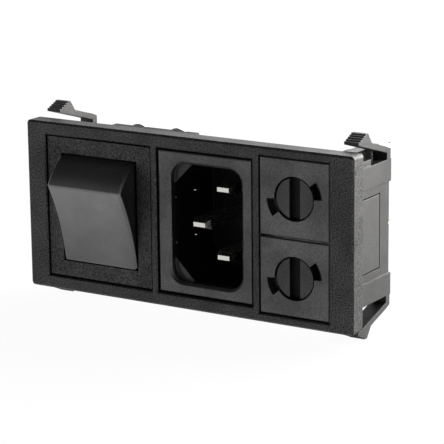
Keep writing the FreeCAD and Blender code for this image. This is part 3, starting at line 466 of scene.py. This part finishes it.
class INLET_OT_mouldings(bpy.types.Operator):
    """Finish the bezel frame, the housings, the covers and the rocker"""
    bl_idname = "inlet.mouldings"
    bl_label = "Finish Mouldings"

    def execute(self, context):
        look = context.scene.inlet_plastics
        coarse, fine, edge = look.frame_grain, look.fine_grain, look.edge_round

        # Nylon from a spark-eroded mould: coarse matt black, whose tips sparkle faintly in the
        # light. The mould is plain behind the bezel, at Y = 0.
        give(moulded_plastic(
            "spark_eroded_nylon", look.frame_colour, grain_size=coarse, grain_depth=0.04 * MM,
            roughness=0.5, gloss=0.54, contrast=0.7, edge=edge, plain_from=0.0), ["bezel_frame"])

        # Nylon from a ground mould: flatter and a little brighter than the frame round it.
        give(moulded_plastic(
            "smooth_end_plate_nylon", look.frame_colour, grain_size=fine, grain_depth=0.015 * MM,
            roughness=0.45, gloss=0.66, contrast=0.4, edge=edge), both("end_plate"))

        # Nylon from an etched mould: an even, dusty black, a shade darker than the frame.
        give(moulded_plastic(
            "fine_textured_nylon", look.switch_colour, grain_size=coarse, grain_depth=0.03 * MM,
            roughness=0.5, gloss=0.48, contrast=0.65, edge=edge), ["switch_housing"])

        # Nylon from a stoned mould, under a thin satin lacquer: a soft sheen that shades smoothly round the dish,
        # with a painted sheen that is brightest at the upper middle of the front and fades over the reach.
        low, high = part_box("rocker")
        sheen_centre = (middle_x("rocker"), low.y, 0.6 * high.z)
        reach = 26 * MM
        give(moulded_plastic(
            "satin_rocker_nylon", look.rocker_colour, grain_size=fine, grain_depth=0.003 * MM,
            roughness=0.3, gloss=1.5, contrast=0.15, edge=look.rocker_round,
            lacquer=0.8, mottle=0.15, painted_sheen=(sheen_centre, reach)), ["rocker"])

        # Nylon from a smooth mould: a semi-gloss flange with a soft rim, and a cavity whose walls carry painted
        # shade, so that it reads as deep black behind it.
        rim = 1.5 * MM
        cavity = (middle_x("inlet_base"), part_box("inlet_housing")[0].y + rim,
                  look.cavity_width / 2 + RECESS_SHADE_CLEARANCE, look.cavity_height / 2 + RECESS_SHADE_CLEARANCE)
        give(moulded_plastic(
            "smooth_inlet_nylon", look.inlet_colour, grain_size=fine, grain_depth=0.006 * MM,
            roughness=0.4, gloss=0.92, contrast=0.3, edge=look.inlet_round,
            mottle=0.15, shaded_recess=cavity), ["inlet_housing"])

        # Polyamide from a stoned mould: satin, the glossiest black after the rocker, with soft
        # mottling from the flow of the melt.
        give(moulded_plastic(
            "satin_holder_polyamide", look.holder_colour, grain_size=fine, grain_depth=0.008 * MM,
            roughness=0.45, gloss=1.05, contrast=0.3, edge=edge, mottle=0.15), pair("fuse_body"))

        # Polyamide with a fine grain on its face: duller than the holder round it. Everything behind the face
        # carries painted shade, over a region wider than the cap, so the coin slot reads black.
        face, wide = 0.2 * MM, 20 * MM
        slot = (middle_x("fuse_cap_upper"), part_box("fuse_cap_upper")[0].y + face, wide, wide)
        give(moulded_plastic(
            "grained_cap_polyamide", look.holder_colour, grain_size=fine, grain_depth=0.015 * MM,
            roughness=0.5, gloss=0.74, contrast=0.5, edge=edge, shaded_recess=slot), pair("fuse_cap"))

        # Nylon as it comes from a plain, worn mould: flat charcoal with next to no sheen.
        give(moulded_plastic(
            "matte_cover_nylon", look.cover_colour, grain_size=coarse, grain_depth=0.015 * MM,
            roughness=0.6, gloss=0.35, contrast=0.35, edge=edge), ["switch_base", "inlet_base"])

        # Acetal without pigment: waxy off-white, smooth and slippery.
        give(moulded_plastic(
            "natural_acetal", look.plunger_colour, grain_size=fine, grain_depth=0.004 * MM,
            roughness=0.35, gloss=0.5, contrast=0.2, edge=edge), both("plunger"))
        return {"FINISHED"}


class INLET_OT_metalwork(bpy.types.Operator):
    """Finish the pins, terminals, contacts and fuses"""
    bl_idname = "inlet.metalwork"
    bl_label = "Finish Metalwork"

    def execute(self, context):
        look = context.scene.inlet_metals

        # Brass plated with nickel: pale warm grey that glints on its flats and tips.
        nickel = rolled_metal(
            "nickel_plated_brass", look.plate_colour, look.line_spacing, 0.28, MARKS_ALONG_DEPTH)
        give(nickel, ["live_pin", "neutral_pin", "earth_pin"])
        give(nickel, pair("fuse_end_front", "fuse_end_rear", "fuse_wire"))

        # Brass with a matt tin plate: silvery and dull, so that it reflects only blurred light.
        tin = rolled_metal(
            "matt_tinned_brass", look.tin_colour, look.line_spacing, 0.6, MARKS_ALONG_DEPTH)
        give(tin, both("switched_terminal", "common_terminal"))
        give(tin, pair("fuse_side_tag", "fuse_rear_tag"))

        # Bare copper alloy off the rolls: warm orange brown with fine lines along the arm.
        alloy = rolled_metal(
            "rolled_copper_alloy", look.alloy_colour, look.line_spacing, 0.35, MARKS_ALONG_HEIGHT)
        give(alloy, both("contact_arm"))

        # Drawn soda glass: clear, seen mostly by the bright lines along its edges.
        give(clear_glass("drawn_soda_glass", look.glass_colour), pair("fuse_glass"))
        return {"FINISHED"}


class INLET_OT_strap(bpy.types.Operator):
    """Form the earth strap, with a rounded contact pip in each window of the inlet"""
    bl_idname = "inlet.strap"
    bl_label = "Form Earth Strap"

    def execute(self, context):
        look = context.scene.inlet_metals
        # Strip with bright nickel plate: smoother than the pins, so each pip gives a sharp glint.
        nickel = rolled_metal(
            "bright_nickel_strip", look.plate_colour, look.line_spacing, 0.22, MARKS_ALONG_DEPTH)
        low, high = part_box("earth_strap")
        made = bmesh.new()
        bmesh.ops.create_cube(made, size=1)
        bmesh.ops.scale(made, verts=made.verts, vec=high - low)
        bmesh.ops.translate(made, verts=made.verts, vec=(low + high) / 2)
        bmesh.ops.bevel(
            made, geom=made.edges[:], offset=STRAP_EDGE, affect="EDGES", segments=2, profile=0.5,
            material=-1)
        for height in (-look.window_height, look.window_height):
            self.add_pip(made, look, Vector((high.x, (low.y + high.y) / 2, height)))
        close_holes(made)
        finish_piece("pipped_earth_strap", made, nickel, "earth_strap")
        return {"FINISHED"}

    def add_pip(self, made, look, place):
        """Half a rounded pip on the strap's face, open at its root."""
        pip = bmesh.ops.create_uvsphere(made, u_segments=24, v_segments=16, radius=1)["verts"]
        bmesh.ops.scale(
            made, verts=pip, vec=(look.pip_rise, look.pip_length / 2, look.pip_width / 2))
        bmesh.ops.translate(made, verts=pip, vec=place)
        ball = pip + list(dict.fromkeys(
            part for vert in pip for part in (*vert.link_edges, *vert.link_faces)))
        bmesh.ops.bisect_plane(
            made, geom=ball, dist=SAME_PLANE, plane_co=(place.x - PIP_ROOT, 0, 0),
            plane_no=(-1, 0, 0), clear_outer=True)


class INLET_OT_springs(bpy.types.Operator):
    """Wind the springs behind the plungers and the fuses from round wire"""
    bl_idname = "inlet.springs"
    bl_label = "Wind Springs"

    def execute(self, context):
        look = context.scene.inlet_metals
        # Drawn spring steel: mid grey, half bright, with a soft streak along each turn.
        steel = rolled_metal(
            "drawn_spring_steel", look.spring_colour, look.line_spacing, 0.3, MARKS_ALL_ROUND)
        self.wind_plunger_springs(look, steel)
        self.wind_fuse_springs(look, steel)
        return {"FINISHED"}

    def wind_plunger_springs(self, look, steel):
        """A coil in each of the rocker's posts, which lean with the rocker."""
        hinge = JOINTS["rocker_tilt"]
        pivot = Vector(hinge["pos_m"])
        lean = math.radians(-hinge["range_deg"][0] / 2)
        upright = Matrix.Rotation(-lean, 3, "X")
        wire = look.plunger_wire
        for node in both("plunger_spring"):
            points = [upright @ (v.co - pivot) for v in NODES[node].data.vertices]
            start, stop = min(p.y for p in points), max(p.y for p in points)
            outside = max(p.z for p in points)
            middle = (min(p.x for p in points) + max(p.x for p in points)) / 2
            made = coil(outside - wire / 2, wire, start, stop, look.plunger_spring_turns)
            bmesh.ops.translate(made, verts=made.verts, vec=(middle, 0, 0))
            bmesh.ops.rotate(
                made, verts=made.verts, matrix=Matrix.Rotation(lean, 3, "X"), cent=(0, 0, 0))
            bmesh.ops.translate(made, verts=made.verts, vec=pivot)
            finish_piece("round_wire_" + node, made, steel, node)

    def wind_fuse_springs(self, look, steel):
        """A short coil behind each fuse, which its push squeezes."""
        wire = look.fuse_wire
        for row in ("_upper", "_lower"):
            low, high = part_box("fuse_spring" + row)
            middle = (low + high) / 2
            made = coil(
                (high.x - low.x - wire) / 2, wire, low.y, high.y, look.fuse_spring_turns)
            bmesh.ops.translate(made, verts=made.verts, vec=(middle.x, 0, middle.z))
            piece = finish_piece(
                "round_wire_fuse_spring" + row, made, steel, "fuse_spring" + row)
            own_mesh(piece)


# ---- studio ----

FLOOR_HALF = 3.0  # Metres from the middle of the floor to its edge.
FLOOR_PATCHES = 0.2  # Metres across the faint patches in its paint.
SKY_WHITE_BELOW = 0.05  # Sines of the elevations between which the light
SKY_DARK_ABOVE = 0.7  # from all round fades.


def bearing(azimuth, elevation):
    """The direction from the object at two angles; azimuth 0 is in front and 90 degrees right."""
    return Vector((math.sin(azimuth) * math.cos(elevation),
                   -math.cos(azimuth) * math.cos(elevation), math.sin(elevation)))


def softbox(name, azimuth, elevation, distance, size, watts, glow):
    """A square lamp on a bearing in degrees, which faces the object."""
    away = bearing(math.radians(azimuth), math.radians(elevation))
    data = bpy.data.lights.new(name, "AREA")
    data.shape = "SQUARE"
    data.size = size
    data.energy = watts
    data.color = linear(glow)[:3]
    lamp = bpy.data.objects.new(name, data)
    bpy.context.scene.collection.objects.link(lamp)
    lamp.location = (CAD_BOX[0] + CAD_BOX[1]) / 2 + away * distance
    lamp.rotation_mode = "QUATERNION"
    lamp.rotation_quaternion = (-away).to_track_quat("-Z", "Y")


def seen_white(tree, lit, white):
    """Plain white for rays that show the background: to the camera, in gloss and through glass."""
    rays = add_node(tree, "ShaderNodeLightPath")
    gloss = add_node(
        tree, "ShaderNodeMath", {"operation": "MAXIMUM"},
        links={0: rays.outputs["Is Camera Ray"], 1: rays.outputs["Is Glossy Ray"]})
    shown = add_node(
        tree, "ShaderNodeMath", {"operation": "MAXIMUM"},
        links={0: gloss.outputs[0], 1: rays.outputs["Is Transmission Ray"]})
    return add_node(tree, "ShaderNodeMixShader", links={0: shown.outputs[0], 1: lit, 2: white})


class INLET_OT_studio(bpy.types.Operator):
    """Set up the floor, the light and the camera"""
    bl_idname = "inlet.studio"
    bl_label = "Build Studio"

    def execute(self, context):
        look = context.scene.inlet_studio
        self.add_floor(look)
        self.add_light(context, look)
        self.add_camera(context, look)
        context.scene.view_settings.view_transform = "Standard"
        return {"FINISHED"}

    def add_floor(self, look):
        """A wide plain floor at the lowest point of the object."""
        made = bmesh.new()
        bmesh.ops.create_grid(made, x_segments=2, y_segments=2, size=FLOOR_HALF)
        bmesh.ops.translate(made, verts=made.verts, vec=(0, 0, CAD_BOX[0].z))
        mesh = bpy.data.meshes.new("floor")
        made.to_mesh(mesh)
        made.free()
        # Matt painted board: even and pale, seen as white but for the shadow on it.
        material, tree = start_material("pale_floor")
        place = add_node(tree, "ShaderNodeTexCoord").outputs["Object"]
        wash = add_node(
            tree, "ShaderNodeTexNoise", values={"Scale": 1 / FLOOR_PATCHES, "Detail": 1.0},
            links={"Vector": place})
        tint = add_node(
            tree, "ShaderNodeMix", {"data_type": "RGBA"},
            {6: shade(look.floor_colour, 0.985), 7: look.floor_colour}, {0: wash.outputs["Fac"]})
        paint = add_node(tree, "ShaderNodeBsdfDiffuse", links={"Color": tint.outputs[2]})
        glow = add_node(tree, "ShaderNodeEmission", values={"Strength": 1.0})
        pale = add_node(
            tree, "ShaderNodeMixShader", values={0: look.floor_white},
            links={1: paint.outputs[0], 2: glow.outputs[0]})
        shown = seen_white(tree, paint.outputs[0], pale.outputs[0])
        add_node(tree, "ShaderNodeOutputMaterial", links={"Surface": shown.outputs[0]})
        mesh.materials.append(material)
        floor = bpy.data.objects.new("floor", mesh)
        bpy.context.scene.collection.objects.link(floor)

    def add_light(self, context, look):
        """White light from low down all round, and softboxes behind and at the right rear."""
        world = bpy.data.worlds.new("studio")
        context.scene.world = world
        world.use_nodes = True
        tree = world.node_tree
        tree.nodes.clear()
        towards = add_node(tree, "ShaderNodeTexCoord").outputs["Generated"]
        height = add_node(tree, "ShaderNodeSeparateXYZ", links={0: towards})
        strength = add_node(
            tree, "ShaderNodeMapRange",
            values={"From Min": SKY_WHITE_BELOW, "From Max": SKY_DARK_ABOVE,
                    "To Min": look.horizon, "To Max": look.zenith},
            links={"Value": height.outputs["Z"]})
        sky = add_node(
            tree, "ShaderNodeBackground", values={"Color": linear("#ffffff")},
            links={"Strength": strength.outputs[0]})
        add_node(tree, "ShaderNodeOutputWorld", links={"Surface": sky.outputs[0]})
        softbox("rear_softbox", azimuth=185, elevation=45, distance=0.6, size=0.5, watts=3.5,
                glow="#ffffff")
        softbox("right_rear_softbox", azimuth=140, elevation=16, distance=0.6, size=0.5,
                watts=12.0, glow="#fffdfa")

    def add_camera(self, context, look):
        """A long lens on the bezel's face, turned to the right and from a little above."""
        back = bearing(look.camera_azimuth, look.camera_elevation)
        level = Vector((math.cos(look.camera_azimuth), math.sin(look.camera_azimuth), 0))
        lean = Matrix.Rotation(look.camera_roll, 3, back)
        across, above = lean @ level, lean @ back.cross(level)
        aim = Vector((0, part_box("bezel_frame")[0].y, 0))
        place = (aim + back * look.camera_distance
                 + across * look.camera_across + above * look.camera_above)
        data = bpy.data.cameras.new("camera")
        data.lens = look.camera_lens
        data.sensor_width = 36
        camera = bpy.data.objects.new("camera", data)
        context.scene.collection.objects.link(camera)
        turn = Matrix((across, above, back)).transposed().to_4x4()
        camera.matrix_world = Matrix.Translation(place) @ turn
        context.scene.camera = camera


class INLET_PT_panel(bpy.types.Panel):
    """Sizes and colours of the inlet unit"""
    bl_idname = "INLET_PT_panel"
    bl_label = "Inlet Unit"
    bl_space_type = "VIEW_3D"
    bl_region_type = "UI"
    bl_category = "Inlet Unit"

    def draw(self, context):
        for group_name in GROUPS:
            group = getattr(context.scene, group_name)
            box = self.layout.box()
            for name in group.bl_rna.properties.keys():
                if name not in ("rna_type", "name"):
                    box.prop(group, name)
        for operator in OPERATORS:
            self.layout.operator(operator.bl_idname)


OPERATORS = (INLET_OT_mouldings, INLET_OT_metalwork, INLET_OT_strap, INLET_OT_springs,
             INLET_OT_studio)
GROUPS = {"inlet_plastics": InletPlastics, "inlet_metals": InletMetals,
          "inlet_studio": InletStudio}


def register():
    for group in GROUPS.values():
        bpy.utils.register_class(group)
    for operator in OPERATORS:
        bpy.utils.register_class(operator)
    bpy.utils.register_class(INLET_PT_panel)
    for name, group in GROUPS.items():
        setattr(bpy.types.Scene, name, bpy.props.PointerProperty(type=group))


def unregister():
    for name in GROUPS:
        delattr(bpy.types.Scene, name)
    bpy.utils.unregister_class(INLET_PT_panel)
    for operator in reversed(OPERATORS):
        bpy.utils.unregister_class(operator)
    for group in reversed(list(GROUPS.values())):
        bpy.utils.unregister_class(group)


def main():
    register()
    bpy.ops.inlet.mouldings()
    bpy.ops.inlet.metalwork()
    bpy.ops.inlet.strap()
    bpy.ops.inlet.springs()
    bpy.ops.inlet.studio()


if __name__ == "__main__":
    main()
